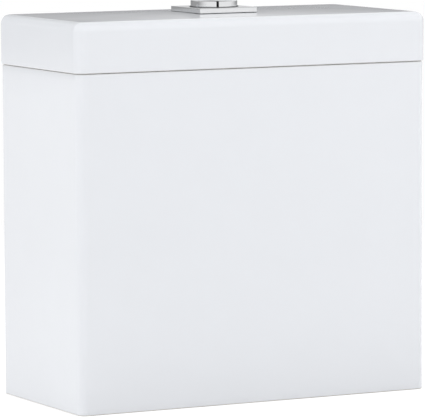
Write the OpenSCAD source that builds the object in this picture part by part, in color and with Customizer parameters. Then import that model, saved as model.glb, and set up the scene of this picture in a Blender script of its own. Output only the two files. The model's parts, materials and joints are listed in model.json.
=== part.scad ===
// Close-coupled toilet cistern with a lift-off lid, a split push button, a flush valve and a fill valve.
// Millimetres. +Z is up, the front faces -Y, and the origin is the middle of the base.

/* [Tank] */
// Width of the tank
tank_w = 372; // [340:1:440]
// Depth of the tank, front to back
tank_d = 171; // [160:1:200]
// Height of the tank, base to seam
tank_h = 320; // [310:1:360]
// Thickness of the ceramic walls
wall = 10; // [8:0.5:14]
// Radius of the upright front corners
tank_corner_r = 8; // [5:0.5:16]
// Radius of the upright back corners
back_corner_r = 3; // [2:0.5:6]
// Rounding of the bottom edge
base_edge_r = 5; // [2:0.5:6]
// Rounding of the upper edge at the seam
rim_edge_r = 1.5; // [0.5:0.25:2.5]
// Radius of the corners of the hollows
hollow_corner_r = 8; // [5:0.5:14]
// Depth of the recess under the tank floor
recess_h = 42; // [40:1:50]
// Thickness of the tank floor
floor_t = 12; // [9:0.5:14]

/* [Lid] */
// Height of the lid at its edges
lid_h = 48.1; // [42:0.1:60]
// How far the lid overhangs the tank at the front and the sides
lid_overhang = 1.2; // [0.5:0.1:3]
// Radius of the lid's upright front corners
lid_corner_r = 9.5; // [9:0.5:16]
// Rounding of the lid's upper edge
lid_edge_r = 9; // [4:0.5:9]
// Rounding of the lid's lower edge at the seam
seam_edge_r = 2.5; // [1:0.25:3]
// Rise of the lid's top in the middle
lid_crown = 1.5; // [1:0.25:4]
// Thickness of the lid's top
lid_top_t = 9; // [7:0.5:12]
// Length of each locating lug
lug_l = 60; // [30:1:80]
// Thickness of each locating lug
lug_t = 7; // [5:0.5:10]
// How far the lugs reach into the tank
lug_drop = 8; // [5:0.5:12]

/* [Push button] */
// Side of the square plate
plate_side = 62; // [60:0.5:70]
// Thickness of the plate
plate_t = 4.8; // [4:0.1:6]
// Radius of the plate's upright corners
plate_corner_r = 1.2; // [0.8:0.1:3]
// Diameter of the round button
button_d = 45; // [45:0.5:47]
// How far the button stands above the plate
button_proud = 6.2; // [4:0.1:9]
// Width of the gap that splits the button
split_gap = 2; // [1:0.1:3]
// Place of that gap, from the middle
split_x = -7; // [-7.5:0.1:-5]
// Wall of the button shells
button_wall = 1.6; // [1.2:0.1:2]
// Travel of each button
button_travel = 8; // [6:0.5:9]
// Depth of the button skirt below the plate's top
skirt_h = 12; // [10:0.5:14]
// Depth of the housing below the lid's top
housing_h = 36; // [34:0.5:44]
// Wall of the housing's tube
housing_wall = 2; // [1.6:0.1:2.5]
// Thickness of the housing's floor
housing_floor_t = 3; // [2:0.5:4]
// Diameter of the push rods
rod_d = 7; // [6:0.1:8]
// Wire of the return springs
spring_wire = 1.2; // [1:0.1:1.4]
// Curls in each return spring
spring_turns = 6; // [4:1:7]

/* [Flush valve] */
// Diameter of the outlet's threaded tail
outlet_d = 59.6; // [56:0.1:62]
// Diameter of the plain spigot at the tail's end
spigot_d = 58; // [50:0.1:58]
// Length of that spigot
spigot_l = 10; // [8:0.5:14]
// Bore of the outlet
outlet_bore = 52; // [48:0.5:53]
// Diameter of the valve's flange
flange_d = 84; // [80:0.5:92]
// Thickness of the valve's flange
flange_t = 4; // [3:0.5:6]
// Height of the seat above the flange
seat_h = 6; // [5:0.5:9]
// Outside diameter of the overflow tube
tube_d = 30; // [26:0.5:32]
// Wall of the overflow tube
tube_wall = 2; // [1.5:0.25:3]
// Height of the cage's water windows
window_h = 42; // [40:1:50]
// Width of the cage's water windows
window_w = 36; // [24:1:38]
// Count of the cage's water windows
window_count = 4; // [3:1:5]
// Room between the overflow tube and the tower
tower_room = 5; // [4:0.5:6]
// Wall of the tower
tower_wall = 3.5; // [3:0.25:4.5]
// Outside diameter of the half-flush float
half_float_d = 80; // [70:0.5:90]
// Height of the half-flush float
half_float_h = 40; // [30:1:46]
// Full swing of the rockers, in degrees
rocker_swing = 30; // [26:1:34]
// Lifting arm of the rockers
rocker_reach = 24; // [23:0.25:26]
// Thickness of each rocker
rocker_t = 8; // [6:0.5:9]
// Diameter of the rockers' pin
pin_d = 4; // [3:0.1:5]
// Depth of the rockers' pivot below the seam
pivot_drop = 44; // [40:0.5:50]

/* [Fill valve] */
// Distance of the fill valve from the tank's left end
fill_inset = 60; // [55:1:75]
// Place of the fill valve, back from the middle
fill_y = 16; // [0:1:24]
// Outside diameter of the inlet's thread
inlet_d = 20.95; // [18:0.05:26]
// Length of the inlet's free thread
inlet_l = 24; // [20:0.5:25]
// Outside diameter of the riser
riser_d = 28; // [26:0.5:30]
// Wall of the riser
riser_wall = 3; // [2:0.25:3]
// Outside diameter of the float cup
float_d = 58; // [54:0.5:62]
// Height of the float cup
float_h = 68; // [50:1:74]
// Travel of the float cup
float_travel = 15; // [10:0.5:16]
// Diameter of the valve head
head_d = 42; // [38:0.5:46]
// Diameter of the link rod
link_d = 4; // [3:0.1:5]
// Diameter of the lever's pin
lever_pin_d = 3.5; // [3:0.1:4]

/* [Fixings] */
// Diameter of the fixing bolts' shank
bolt_d = 8; // [6:0.5:10]
// Diameter of the fixing bolts' free thread, halfway up its ridges
bolt_thread_d = 7.2; // [5.2:0.1:9.2]
// Distance between the fixing bolts
bolt_spacing = 155; // [150:1:170]
// Thickness of the rubber gaskets
gasket_t = 3; // [2:0.5:4]
// Height at which the tails and bolts end above the base
tail_end_z = 4; // [2:0.5:6]

/* [Clearances] */
// Running clearance round pins, rods in their sockets and threads
pin_gap = 0.05; // [0.02:0.01:0.1]
// Clearance round parts that slide
slide_gap = 0.5; // [0.3:0.1:0.8]
// Clearance where a moving part waits on its stop
stop_gap = 0.3; // [0.2:0.1:0.5]
// Clearance round tails and bolts in the ceramic
ceramic_gap = 2.2; // [1.5:0.1:3]

/* [Hidden] */
$fn = 96;
eps = 0.5;

// Ceramic: the lid and the tank share one back plane
lid_w = tank_w + 2 * lid_overhang;
lid_d = tank_d + lid_overhang;
back_y = lid_d / 2;
tank_y = back_y - tank_d / 2;
floor_z = recess_h + floor_t;
lid_edge_z = tank_h + lid_h;
lid_top_z = lid_edge_z + lid_crown;
ceiling_z = lid_edge_z - lid_top_t;
lid_wall = wall + lid_overhang;

// Push button
plate_top_z = lid_top_z + plate_t;
button_top_z = plate_top_z + button_proud;
button_r = button_d / 2;
button_top_t = 2;
button_edge_r = 0.8;
boss_wall = 2.4;
skirt_z = plate_top_z - skirt_h;
housing_r = button_r + slide_gap;
housing_out_r = housing_r + housing_wall;
housing_bottom_z = lid_top_z - housing_h;
housing_floor_z = housing_bottom_z + housing_floor_t;
plate_skin = 1.5;
plate_rim = 2.4;
plate_edge_r = 0.5;
housing_flange = plate_side - 2 * plate_rim - 2 * slide_gap;
housing_flange_t = plate_t - plate_skin - slide_gap;
washer_t = 2;
housing_nut_h = 8;
housing_nut_wall = 7;
lid_hole_r = housing_out_r + 1;
rod_r = rod_d / 2;
clip_t = 2;
clip_wall = 3;
spring_r = rod_r + 0.7 + spring_wire;

// Rockers: the input arm follows from the button's travel and the swing
rocker_in = button_travel / (2 * sin(rocker_swing / 2));
tube_lift = 2 * rocker_reach * sin(rocker_swing / 2);
pivot_z = tank_h - pivot_drop;
rocker_gap = 0.5;
rocker_y = rocker_gap + rocker_t / 2;
rocker_hub_r = pin_d / 2 + 3.5;
rocker_half_t = 3;
rod_x = rocker_in;
rod_y = rocker_y;
rod_tip_z = pivot_z + (rocker_half_t + rod_r + stop_gap + rocker_in * sin(rocker_swing / 2))
    / cos(rocker_swing / 2);
hook_z = pivot_z - tube_lift / 2 + rocker_half_t + stop_gap;
hook_t = 3.5;
hook_in = rocker_reach - 2 * stop_gap;
cheek_y = rocker_gap + rocker_t + 0.8;
cheek_t = 3.5;
cheek_w = 14;
strap_y = rocker_gap + rocker_t + 1;
strap_t = 3;
strap_out = rocker_reach + 4;
pin_l = 2 * (cheek_y + cheek_t) + 2;

// Flush valve, from the tank floor upwards
flange_z = floor_z + gasket_t;
cage_z = flange_z + flange_t;
seat_z = cage_z + seat_h;
seat_wall = 4;
seat_in_r = outlet_bore / 2 + 1;
seal_r = seat_in_r + seat_wall + 2;
seal_t = 3;
holder_z = seat_z + seal_t;
holder_t = 3;
tube_r = tube_d / 2;
tube_end_z = seat_z - 7;
clamp_r = seat_in_r - 2;
clamp_h = 4;
cage_r = flange_d / 2;
cage_wall = 3.5;
cage_foot_h = 5;
deck_z = cage_z + cage_foot_h + window_h;
deck_t = 4;
tower_in_r = tube_r + tower_room;
tower_r = tower_in_r + tower_wall;
socket_r = tower_r + 2.5;
socket_h = 8;
head_plate_t = 4;
head_z = pivot_z - rocker_half_t - rocker_reach * sin(rocker_swing / 2) - head_plate_t - 0.8;
tube_top_z = head_z - tube_lift - 3.5;
collar_t = 4;
collar_z = tube_top_z - collar_t - 6;
tower_top_z = collar_z - 10;
post_w = 24;
bell_wall = 1.8;
bell_r = seal_r - 5;
bell_h = deck_z - holder_z - holder_t - tube_lift - 1;
half_float_r = half_float_d / 2;
half_float_rest = 16;
half_float_z = deck_z + deck_t + half_float_rest;
float_wall = 2;
guide_t = 4;
strap_in = sqrt(pow(tower_r, 2) - pow(strap_y, 2)) + 0.7;

// Outlet fixing under the floor
backnut_h = 12;
backnut_wall = 11;
backnut_lugs = 8;
seal_wall = 10;
seal_low_z = tail_end_z + spigot_l + 0.5;

// Fill valve
fill_x = fill_inset - tank_w / 2;
inlet_r = inlet_d / 2;
shank_r = inlet_r + 0.3;
shank_bore_r = 5.5;
supply_r = shank_bore_r + 2;
shank_step_z = tail_end_z + inlet_l;
inlet_flange_r = shank_r + 7.2;
inlet_flange_t = 5;
riser_r = riser_d / 2;
riser_z = flange_z + inlet_flange_t;
riser_in_r = riser_r - riser_wall;
head_r = head_d / 2;
lever_z = pivot_z - 2;
lever_half_t = 3;
lever_w = 8;
lever_pivot_x = -15;
link_x = float_d / 2 + 7;
lever_l = link_x - lever_pivot_x;
lever_half_swing = asin(float_travel / (2 * lever_l));
cap_t = 11;
cap_r = head_r + 1;
cap_top_z = lever_z - lever_half_t / cos(lever_half_swing)
    - (cap_r - lever_pivot_x) * tan(lever_half_swing) - 2.5;
cap_z = cap_top_z - cap_t;
head_h = 24;
chamber_r = head_r - 4;
fill_head_z = cap_z - head_h;
neck_h = 6;
float_ear_t = 6;
float_z = fill_head_z - float_travel - float_h - 3;
collar_h = 12;
collar_wall = 4.5;
link_spare = 18;
link_end_z = lever_z - float_travel / 2 + link_spare;
nut_h = 4;
nut_r = link_d / 2 + 2.2;
inlet_nut_h = 12;

// Fixing bolts, from the head downwards
bolt_r = bolt_d / 2;
cone_h = 5.5;
cone_r = 3.5 * bolt_r;
steel_t = 1.5;
steel_r = 2.75 * bolt_r;
bolt_head_r = 2.25 * bolt_r;
bolt_head_h = 5;
bolt_nut_r = bolt_r * 1.88;
bolt_nut_h = 6.5;

// Shapes that several pieces share

module ring(outer_r, inner_r, height) {
    difference() {
        cylinder(r = outer_r, h = height);
        translate([0, 0, -eps]) cylinder(r = inner_r, h = height + 2 * eps);
    }
}

// Rectangle with round corners, about its middle
module round_rect(w, d, r) {
    square([w - 2 * r, d], center = true);
    square([w, d - 2 * r], center = true);
    for (x = [-1, 1], y = [-1, 1]) translate([x * (w / 2 - r), y * (d / 2 - r)]) circle(r);
}

// Section of a rounded rim: a strip that ends in a quarter disc
module rim_section(corner_r, edge_r) {
    inset = corner_r - edge_r;
    if (inset > 0) square([inset, edge_r]);
    translate([inset, 0]) intersection() {
        circle(edge_r);
        square(edge_r);
    }
}

// Frame of a slab as thick as its edge radius, with the upper edge rounded all round
module rim_frame(w, d, corner_r, edge_r) {
    for (side = [0:3]) {
        half = side % 2 == 0 ? w / 2 : d / 2;
        run = side % 2 == 0 ? d : w;
        rotate(90 * side) translate([half - corner_r, 0, 0]) rotate([90, 0, 0])
            linear_extrude(run - 2 * corner_r, center = true) rim_section(corner_r, edge_r);
        x = side == 0 || side == 3 ? 1 : -1;
        y = side < 2 ? 1 : -1;
        translate([x * (w / 2 - corner_r), y * (d / 2 - corner_r), 0]) rotate(90 * side)
            rotate_extrude(angle = 90) rim_section(corner_r, edge_r);
    }
}

// The same slab, filled
module rim_layer(w, d, corner_r, edge_r) {
    rim_frame(w, d, corner_r, edge_r);
    translate([corner_r - w / 2, corner_r - d / 2, 0])
        cube([w - 2 * corner_r, d - 2 * corner_r, edge_r]);
}

// Section of what is cut off a square lower edge to round it, about the centre of the rounding
module edge_waste(r) {
    difference() {
        translate([0, -r - eps]) square([r + eps, r + eps]);
        circle(r);
    }
}

// Keeps what lies in front of the back plane and rounds the upright back corners
module cut_at_back(w, d, height) {
    intersection() {
        children();
        translate([0, back_y - d, -height]) linear_extrude(3 * height)
            round_rect(w, 2 * d, back_corner_r);
    }
}

// Upside-down cup with a middle bore: the shape of every float here
module float_shell(outer_r, bore_r, height, shell) {
    rotate_extrude() difference() {
        translate([bore_r, 0]) square([outer_r - bore_r, height]);
        translate([bore_r + shell, -eps]) square([outer_r - bore_r - 2 * shell, height - shell + eps]);
    }
}

// Upright grooves to cut round a piece of that radius, from its foot up
module grooves(r, height, count) {
    depth = 1;
    groove_r = 2;
    for (groove = [1:count]) rotate((groove - 0.5) * 360 / count)
        translate([r + groove_r - depth, 0, -eps]) cylinder(r = groove_r, h = height + eps);
}

module hex_nut(across_r, bore_r, height) {
    difference() {
        cylinder(r = across_r, h = height, $fn = 6);
        translate([0, 0, -eps]) cylinder(r = bore_r, h = height + 2 * eps);
    }
}

// Draws its child at both fixing bolts
module at_bolts() {
    for (side = [-1, 1]) translate([side * bolt_spacing / 2, 0, 0]) children();
}

module at_fill() {
    translate([fill_x, fill_y, 0]) children();
}

// Draws an outline of the x-z plane as a plate from y = from_y
module upright_plate(from_y, thickness) {
    translate([0, from_y + thickness, 0]) rotate([90, 0, 0]) linear_extrude(thickness) children();
}

// Tank and lid

module tank() {
    deep = 2 * tank_d;
    color("white") difference() {
        cut_at_back(tank_w, tank_d, tank_h) translate([0, back_y - tank_d + deep / 2, 0]) {
            translate([0, 0, base_edge_r]) linear_extrude(tank_h - base_edge_r - rim_edge_r)
                round_rect(tank_w, deep, tank_corner_r);
            translate([0, 0, base_edge_r]) mirror([0, 0, 1])
                rim_layer(tank_w, deep, tank_corner_r, base_edge_r);
            translate([0, 0, tank_h - rim_edge_r])
                rim_layer(tank_w, deep, tank_corner_r, rim_edge_r);
        }
        translate([0, back_y - base_edge_r, base_edge_r]) rotate([90, 0, 90])
            linear_extrude(2 * tank_w, center = true) edge_waste(base_edge_r);
        translate([0, tank_y, floor_z]) linear_extrude(tank_h)
            round_rect(tank_w - 2 * wall, tank_d - 2 * wall, hollow_corner_r);
        translate([0, tank_y, -eps]) linear_extrude(recess_h + eps)
            round_rect(tank_w - 2 * wall, tank_d - 2 * wall, hollow_corner_r);
        translate([0, 0, recess_h - eps]) {
            cylinder(r = outlet_d / 2 + ceramic_gap, h = floor_t + 2 * eps);
            at_bolts() cylinder(r = bolt_r + ceramic_gap, h = floor_t + 2 * eps);
            at_fill() cylinder(r = shank_r + ceramic_gap, h = floor_t + 2 * eps);
        }
    }
}

// Gently domed block under the lid's top: the rise falls off as a parabola to all four edges
dome_nx = 24;
dome_ny = 12;
dome_x = lid_w / 2 - lid_corner_r;
dome_y = (lid_d - lid_corner_r) / 2;
function dome_at(i, j) = j * (dome_nx + 1) + i;
function dome_point(i, j) = let (u = 2 * i / dome_nx - 1, v = 2 * j / dome_ny - 1)
    [u * dome_x, v * dome_y, lid_crown * (1 - u * u) * (1 - v * v)];

module lid_dome(depth) {
    base = (dome_nx + 1) * (dome_ny + 1);
    top_points = [for (j = [0:dome_ny], i = [0:dome_nx]) dome_point(i, j)];
    base_points = [for (corner = [[-1, -1], [1, -1], [1, 1], [-1, 1]])
        [corner[0] * dome_x, corner[1] * dome_y, -depth]];
    top = [for (i = [0:dome_nx - 1], j = [0:dome_ny - 1])
        each [[dome_at(i, j), dome_at(i, j + 1), dome_at(i + 1, j + 1)],
            [dome_at(i, j), dome_at(i + 1, j + 1), dome_at(i + 1, j)]]];
    front_back = [for (i = [0:dome_nx - 1])
        each [[base, dome_at(i, 0), dome_at(i + 1, 0)],
            [base + 2, dome_at(i + 1, dome_ny), dome_at(i, dome_ny)]]];
    sides = [for (j = [0:dome_ny - 1])
        each [[base + 1, dome_at(dome_nx, j), dome_at(dome_nx, j + 1)],
            [base + 3, dome_at(0, j + 1), dome_at(0, j)]]];
    ends = [[base, dome_at(dome_nx, 0), base + 1], [base + 1, dome_at(dome_nx, dome_ny), base + 2],
        [base + 2, dome_at(0, dome_ny), base + 3], [base + 3, dome_at(0, 0), base]];
    bottom = [[base, base + 1, base + 2], [base, base + 2, base + 3]];
    translate([0, back_y - dome_y, lid_edge_z])
        polyhedron(points = concat(top_points, base_points),
            faces = concat(top, front_back, sides, ends, bottom));
}

// Section of a locating lug: it hangs inside the lid's wall and reaches past the seam
module lug_section() {
    set_in = 2;
    grown = 2.5 * lug_drop;
    polygon([[-eps, 0], [set_in, 0], [set_in, -lug_drop], [set_in + lug_t - 1, -lug_drop],
        [set_in + lug_t, 1 - lug_drop], [set_in + lug_t, grown - lug_t], [-eps, grown]]);
}

module lid_lugs() {
    x_in = lid_w / 2 - lid_wall;
    y_in = lid_d / 2 - lid_wall;
    x_place = lid_w / 2 - 1.3 * lug_l;
    for (place = [[-x_place, -y_in, 90], [x_place, -y_in, 90], [-x_place, y_in, -90], [x_place, y_in, -90],
            [-x_in, 0, 0], [x_in, 0, 180]])
        translate([place[0], place[1], tank_h]) rotate(place[2]) rotate([90, 0, 0])
            linear_extrude(lug_l, center = true) lug_section();
}

module lid() {
    deep = 2 * lid_d;
    edge_r = min(lid_edge_r, lid_corner_r);
    color("white") {
        difference() {
            cut_at_back(lid_w, lid_d, lid_top_z) union() {
                translate([0, back_y - lid_d + deep / 2, 0]) {
                    translate([0, 0, tank_h + seam_edge_r]) linear_extrude(lid_h - seam_edge_r - edge_r)
                        round_rect(lid_w, deep, lid_corner_r);
                    translate([0, 0, tank_h + seam_edge_r]) mirror([0, 0, 1])
                        rim_layer(lid_w, deep, lid_corner_r, seam_edge_r);
                    translate([0, 0, lid_edge_z - edge_r])
                        rim_frame(lid_w, deep, lid_corner_r, edge_r);
                }
                lid_dome(edge_r);
            }
            translate([0, 0, tank_h - eps]) linear_extrude(ceiling_z - tank_h + eps)
                round_rect(lid_w - 2 * lid_wall, lid_d - 2 * lid_wall, hollow_corner_r);
            translate([0, 0, tank_h]) cylinder(r = lid_hole_r, h = lid_h + 2 * lid_crown);
        }
        lid_lugs();
    }
}

// Push button

module button_plate() {
    color("gainsboro") translate([0, 0, lid_top_z]) difference() {
        union() {
            linear_extrude(plate_t - plate_edge_r) round_rect(plate_side, plate_side, plate_corner_r);
            translate([0, 0, plate_t - plate_edge_r])
                rim_layer(plate_side, plate_side, plate_corner_r, plate_edge_r);
        }
        inside = plate_side - 2 * plate_rim;
        translate([0, 0, -eps]) linear_extrude(plate_t - plate_skin + eps) square(inside, center = true);
        translate([0, 0, -eps]) cylinder(r = housing_r, h = plate_t + 2 * eps);
    }
}

// Draws its child at both push rods: the full one right of the middle, the half one left of it
module at_rod(side) {
    translate([side * rod_x, side * rod_y, 0]) children();
}

module button_housing() {
    color("whitesmoke") difference() {
        union() {
            translate([0, 0, lid_top_z]) linear_extrude(housing_flange_t)
                round_rect(housing_flange, housing_flange, plate_corner_r);
            translate([0, 0, housing_bottom_z]) cylinder(r = housing_out_r, h = housing_h);
        }
        translate([0, 0, housing_floor_z]) cylinder(r = housing_r, h = housing_h + plate_t);
        for (side = [-1, 1]) at_rod(side) translate([0, 0, housing_bottom_z - eps])
            cylinder(r = rod_r + slide_gap / 2, h = housing_floor_t + 2 * eps);
        for (side = [-1, 1]) translate([0, side * button_r * 0.68, housing_bottom_z - eps])
            cylinder(r = rod_r, h = housing_floor_t + 2 * eps);
    }
}

module housing_washer() {
    color("dimgray") translate([0, 0, ceiling_z - washer_t])
        ring(housing_out_r + housing_nut_wall, lid_hole_r, washer_t);
}

module housing_nut() {
    wings = 6;
    color("whitesmoke") translate([0, 0, ceiling_z - washer_t - housing_nut_h]) difference() {
        union() {
            cylinder(r = housing_out_r + housing_nut_wall - 2, h = housing_nut_h);
            translate([0, 0, housing_nut_h - 2]) cylinder(r = housing_out_r + housing_nut_wall, h = 2);
            for (wing = [1:wings]) rotate(wing * 360 / wings)
                translate([housing_out_r + housing_nut_wall / 2, -3, 0])
                    cube([housing_nut_wall / 2 + 2, 6, housing_nut_h]);
        }
        translate([0, 0, -eps]) cylinder(r = housing_out_r + pin_gap, h = housing_nut_h + 2 * eps);
    }
}

// Outline of the whole button, as a section to revolve
module button_section(r, top_z) {
    translate([0, skirt_z]) square([r, top_z - skirt_z - button_edge_r]);
    translate([0, skirt_z]) square([r - button_edge_r, top_z - skirt_z]);
    translate([r - button_edge_r, top_z - button_edge_r]) circle(button_edge_r);
}

// Half space on one side of the split: side 1 is the full button, side -1 the half button
module split_side(side, inset) {
    reach = 2 * button_d;
    x = split_x + side * (split_gap / 2 + inset);
    translate([side > 0 ? x : x - reach, -reach / 2, skirt_z - eps]) cube([reach, reach, reach]);
}

module button_shell(side) {
    color("silver") difference() {
        intersection() {
            rotate_extrude() button_section(button_r, button_top_z);
            split_side(side, 0);
        }
        difference() {
            intersection() {
                translate([0, 0, skirt_z - eps])
                    cylinder(r = button_r - button_wall, h = button_top_z - button_top_t - skirt_z + eps);
                split_side(side, button_wall);
            }
            at_rod(side) translate([0, 0, skirt_z - 2 * eps]) cylinder(r = rod_r + boss_wall, h = button_d);
        }
        at_rod(side) translate([0, 0, skirt_z - eps]) cylinder(r = rod_r + pin_gap, h = skirt_h + eps);
    }
}

module full_button() { button_shell(1); }
module half_button() { button_shell(-1); }

module push_rod(side) {
    color("whitesmoke") at_rod(side) {
        translate([0, 0, rod_tip_z]) cylinder(r = rod_r, h = plate_top_z - rod_tip_z);
        translate([0, 0, rod_tip_z]) sphere(r = rod_r);
    }
}

module full_rod() { push_rod(1); }
module half_rod() { push_rod(-1); }

module rod_clip(side) {
    color("silver") at_rod(side) translate([0, 0, housing_bottom_z - stop_gap - clip_t])
        ring(rod_r + clip_wall, rod_r + pin_gap, clip_t);
}

module full_clip() { rod_clip(1); }
module half_clip() { rod_clip(-1); }

// Return spring: one tube of six sides along a helix, with eight rings a curl
spring_sides = 6;
spring_rings = 8 * spring_turns;
spring_h = skirt_z - housing_floor_z - 2 * stop_gap;
spring_rise = spring_h - spring_wire;
function spring_point(ring) = let (turn = 360 * spring_turns * ring / spring_rings)
    [spring_r * cos(turn), spring_r * sin(turn), spring_wire / 2 + spring_rise * ring / spring_rings];
function spring_ring(ring) = let (turn = 360 * spring_turns * ring / spring_rings, c = spring_point(ring))
    [for (side = [0:spring_sides - 1]) let (a = 360 * side / spring_sides, wire_r = spring_wire / 2)
        c + [wire_r * cos(a) * cos(turn), wire_r * cos(a) * sin(turn), wire_r * sin(a)]];
spring_points = [for (ring = [0:spring_rings]) each spring_ring(ring)];
spring_skin = [for (ring = [0:spring_rings - 1], side = [0:spring_sides - 1])
    let (a = ring * spring_sides, b = a + spring_sides, next = (side + 1) % spring_sides)
        each [[a + side, b + side, b + next], [a + side, b + next, a + next]]];
spring_caps = [for (side = [1:spring_sides - 2]) let (last = spring_rings * spring_sides)
    each [[0, side, side + 1], [last, last + side + 1, last + side]]];
// Least distance between points at least half a curl apart, less the wire
spring_least_gap = min([for (a = [0:spring_rings], b = [a + 4:1:spring_rings])
    norm(spring_point(a) - spring_point(b))]) - spring_wire;
echo(spring_least_gap = spring_least_gap);

module return_spring(side) {
    color("silver") at_rod(side) translate([0, 0, housing_floor_z + stop_gap])
        polyhedron(points = spring_points, faces = concat(spring_skin, spring_caps));
}

module full_spring() { return_spring(1); }
module half_spring() { return_spring(-1); }

// Flush valve

module valve_base() {
    color("white") rotate_extrude() {
        polygon([[outlet_bore / 2, tail_end_z], [spigot_d / 2, tail_end_z],
            [spigot_d / 2, tail_end_z + spigot_l], [outlet_d / 2, tail_end_z + spigot_l],
            [outlet_d / 2, flange_z], [flange_d / 2, flange_z], [flange_d / 2, cage_z],
            [seat_in_r + seat_wall, cage_z], [seat_in_r + seat_wall, seat_z - 1],
            [seat_in_r + seat_wall - 1, seat_z], [seat_in_r, seat_z], [outlet_bore / 2, seat_z - 4]]);
    }
}

module valve_cage() {
    rib = [[socket_r - eps, 0], [cage_r - cage_wall - 2, 0], [socket_r - eps, socket_h]];
    color("gainsboro") difference() {
        union() {
            translate([0, 0, cage_z]) ring(cage_r, cage_r - cage_wall, deck_z + deck_t - cage_z);
            translate([0, 0, deck_z]) ring(cage_r, tube_r + slide_gap, deck_t);
            translate([0, 0, deck_z + deck_t - eps]) ring(socket_r, tower_r + pin_gap, socket_h + eps);
            for (turn = [45:90:315]) rotate(turn) translate([0, 0, deck_z + deck_t])
                upright_plate(-1.5, 3) polygon(rib);
        }
        for (window = [1:window_count]) rotate((window - 0.5) * 360 / window_count)
            translate([0, -window_w / 2, cage_z + cage_foot_h]) cube([flange_d, window_w, window_h]);
    }
}

module valve_tower() {
    foot_z = deck_z + deck_t;
    color("gainsboro") difference() {
        union() {
            translate([0, 0, foot_z]) ring(tower_r, tower_in_r, head_z - foot_z);
            translate([0, 0, tower_top_z - 2 * guide_t]) ring(tower_r, tube_r + slide_gap, guide_t);
            translate([0, 0, half_float_z - stop_gap - guide_t]) ring(tower_r + 4, tower_in_r, guide_t);
        }
        for (side = [-1, 1]) translate([side * (post_w / 2 + tower_r) - tower_r, -flange_d / 2, tower_top_z])
            cube([2 * tower_r, flange_d, tank_h]);
    }
}

module valve_head() {
    cheek_h = pivot_z - head_z + rocker_hub_r + 1;
    color("lightsteelblue") translate([0, 0, head_z]) difference() {
        union() {
            ring(tower_r, tube_r + 2, head_plate_t);
            for (side = [0, 180]) rotate(side) {
                upright_plate(cheek_y, cheek_t) {
                    translate([-cheek_w / 2, 0]) square([cheek_w, cheek_h - cheek_w / 2]);
                    translate([0, cheek_h - cheek_w / 2]) circle(cheek_w / 2);
                }
                translate([-cheek_w / 2, cheek_y, 0]) cube([cheek_w, tower_in_r - cheek_y, head_plate_t]);
            }
        }
        translate([0, 0, pivot_z - head_z]) rotate([90, 0, 0])
            cylinder(r = pin_d / 2 + pin_gap, h = pin_l, center = true);
    }
}

module rocker_pin() {
    color("silver") translate([0, 0, pivot_z]) rotate([90, 0, 0])
        cylinder(r = pin_d / 2, h = pin_l, center = true);
}

// Side view of a rocker, level: the push rod works on the right arm, the left arm lifts
module rocker_outline() {
    pad_l = rocker_in + rod_r + 1;
    translate([-rocker_reach, -rocker_half_t]) square([rocker_reach + pad_l, 2 * rocker_half_t]);
    translate([-rocker_reach, 0]) circle(rocker_half_t);
    translate([pad_l, 0]) circle(rocker_half_t);
    circle(rocker_hub_r);
}

// Hollows in the side of a rocker's two arms, which leave a rim all round
module rocker_pockets() {
    rim = 1.2;
    start = rocker_hub_r + rim;
    translate([start, rim - rocker_half_t]) square([rocker_in + rod_r - start, 2 * (rocker_half_t - rim)]);
    translate([-rocker_reach, rim - rocker_half_t]) square([rocker_reach - start, 2 * (rocker_half_t - rim)]);
}

module rocker(side) {
    pocket = 2;
    color("tomato") difference() {
        translate([0, 0, pivot_z]) rotate(side > 0 ? 0 : 180) difference() {
            upright_plate(rocker_gap, rocker_t) rotate(rocker_swing / 2) rocker_outline();
            upright_plate(rocker_gap + rocker_t - pocket, pocket + eps)
                rotate(rocker_swing / 2) rocker_pockets();
        }
        translate([0, 0, pivot_z]) rotate([90, 0, 0])
            cylinder(r = pin_d / 2 + pin_gap, h = pin_l, center = true);
    }
}

module full_rocker() { rocker(1); }
module half_rocker() { rocker(-1); }

// Strap with a hook over a rocker's lifting arm, on the left of the middle, from height low_z up
module lifting_strap(low_z) {
    translate([-strap_out, strap_y, low_z])
        cube([strap_out - strap_in, strap_t, hook_z + hook_t - low_z]);
    translate([-strap_out, rocker_gap + 1, hook_z])
        cube([strap_out - hook_in, strap_y + strap_t - rocker_gap - 1, hook_t]);
}

module overflow_tube() {
    bore_r = tube_r - tube_wall;
    color("white") difference() {
        union() {
            translate([0, 0, tube_end_z]) cylinder(r = tube_r, h = tube_top_z - tube_end_z);
            translate([0, 0, holder_z]) cylinder(r = seal_r - 3, h = holder_t);
        }
        translate([0, 0, tube_end_z - eps]) cylinder(r = bore_r, h = tube_top_z - tube_end_z + 2 * eps);
    }
}

// Clamp round the overflow tube, with the strap that the full rocker lifts
module lifting_yoke() {
    color("lightsteelblue") difference() {
        union() {
            translate([0, 0, collar_z]) cylinder(r = tube_r + strap_t, h = collar_t);
            translate([-strap_out, -strap_t, collar_z])
                cube([strap_out, strap_y + 2 * strap_t, collar_t]);
            lifting_strap(collar_z);
        }
        translate([0, 0, collar_z - eps]) cylinder(r = tube_r + pin_gap, h = collar_t + 2 * eps);
    }
}

module tube_float() {
    color("white") translate([0, 0, holder_z + holder_t])
        float_shell(bell_r, tube_r + pin_gap, bell_h, bell_wall);
}

module valve_seal() {
    color("firebrick") translate([0, 0, seat_z]) ring(seal_r, tube_r + pin_gap, seal_t);
}

module seal_clamp() {
    color("gainsboro") translate([0, 0, seat_z - clamp_h]) ring(clamp_r, tube_r + pin_gap, clamp_h);
}

module half_float() {
    color("cornflowerblue") {
        translate([0, 0, half_float_z]) difference() {
            float_shell(half_float_r, tower_r + slide_gap, half_float_h, float_wall);
            grooves(half_float_r, half_float_h - 8, 24);
        }
        rotate(180) lifting_strap(half_float_z + half_float_h - eps);
    }
}

// Outlet under the tank floor

module outlet_gasket() {
    color("dimgray") translate([0, 0, floor_z])
        ring(flange_d / 2, outlet_d / 2 + pin_gap, gasket_t);
}

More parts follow.
